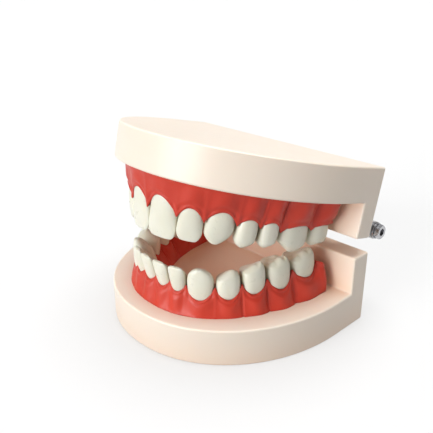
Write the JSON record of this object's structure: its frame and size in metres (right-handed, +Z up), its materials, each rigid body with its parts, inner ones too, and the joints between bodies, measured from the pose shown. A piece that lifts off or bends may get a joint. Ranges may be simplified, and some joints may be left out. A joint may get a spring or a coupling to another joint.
{
  "type": "dental study model",
  "caption": "Hinged model of an adult mouth: two D-shaped bases with red gum arches, separate white teeth and a steel hinge at the back, standing partly open.",
  "frame": {"origin": "middle of the lower base's flat underside", "axes": "+X to the wearer's left, along the hinge pin; -Y to the front teeth, +Y to the hinge; +Z up"},
  "size_m": [0.0753, 0.067, 0.0615],
  "materials": {
    "base": "satin",
    "gum": "satin",
    "tooth": "satin",
    "bracket": "satin",
    "screw": "polished",
    "pin": "polished"
  },
  "bodies": {
    "lower_jaw": {"lower_base": "base", "lower_gum": "gum", "lower_left_central": "tooth", "lower_left_lateral": "tooth", "lower_left_canine": "tooth", "lower_left_premolar_1": "tooth", "lower_left_premolar_2": "tooth", "lower_left_molar_1": "tooth", "lower_left_molar_2": "tooth", "lower_right_central": "tooth", "lower_right_lateral": "tooth", "lower_right_canine": "tooth", "lower_right_premolar_1": "tooth", "lower_right_premolar_2": "tooth", "lower_right_molar_1": "tooth", "lower_right_molar_2": "tooth", "lower_bracket": "bracket", "lower_bracket_screws": "screw"},
    "upper_jaw": {"upper_base": "base", "upper_gum": "gum", "upper_left_central": "tooth", "upper_left_lateral": "tooth", "upper_left_canine": "tooth", "upper_left_premolar_1": "tooth", "upper_left_premolar_2": "tooth", "upper_left_molar_1": "tooth", "upper_left_molar_2": "tooth", "upper_right_central": "tooth", "upper_right_lateral": "tooth", "upper_right_canine": "tooth", "upper_right_premolar_1": "tooth", "upper_right_premolar_2": "tooth", "upper_right_molar_1": "tooth", "upper_right_molar_2": "tooth", "upper_bracket_left": "bracket", "upper_bracket_right": "bracket", "upper_bracket_screws": "screw", "hinge_pin": "pin", "hinge_nut": "pin", "hinge_washers": "pin"}
  },
  "joints": [
    {"name": "jaw_hinge", "type": "hinge", "parent": "lower_jaw", "child": "upper_jaw", "pos_m": [0, 0.03535, 0.0268], "axis": [-1, 0, 0], "range_deg": [-3, 100]}
  ]
}
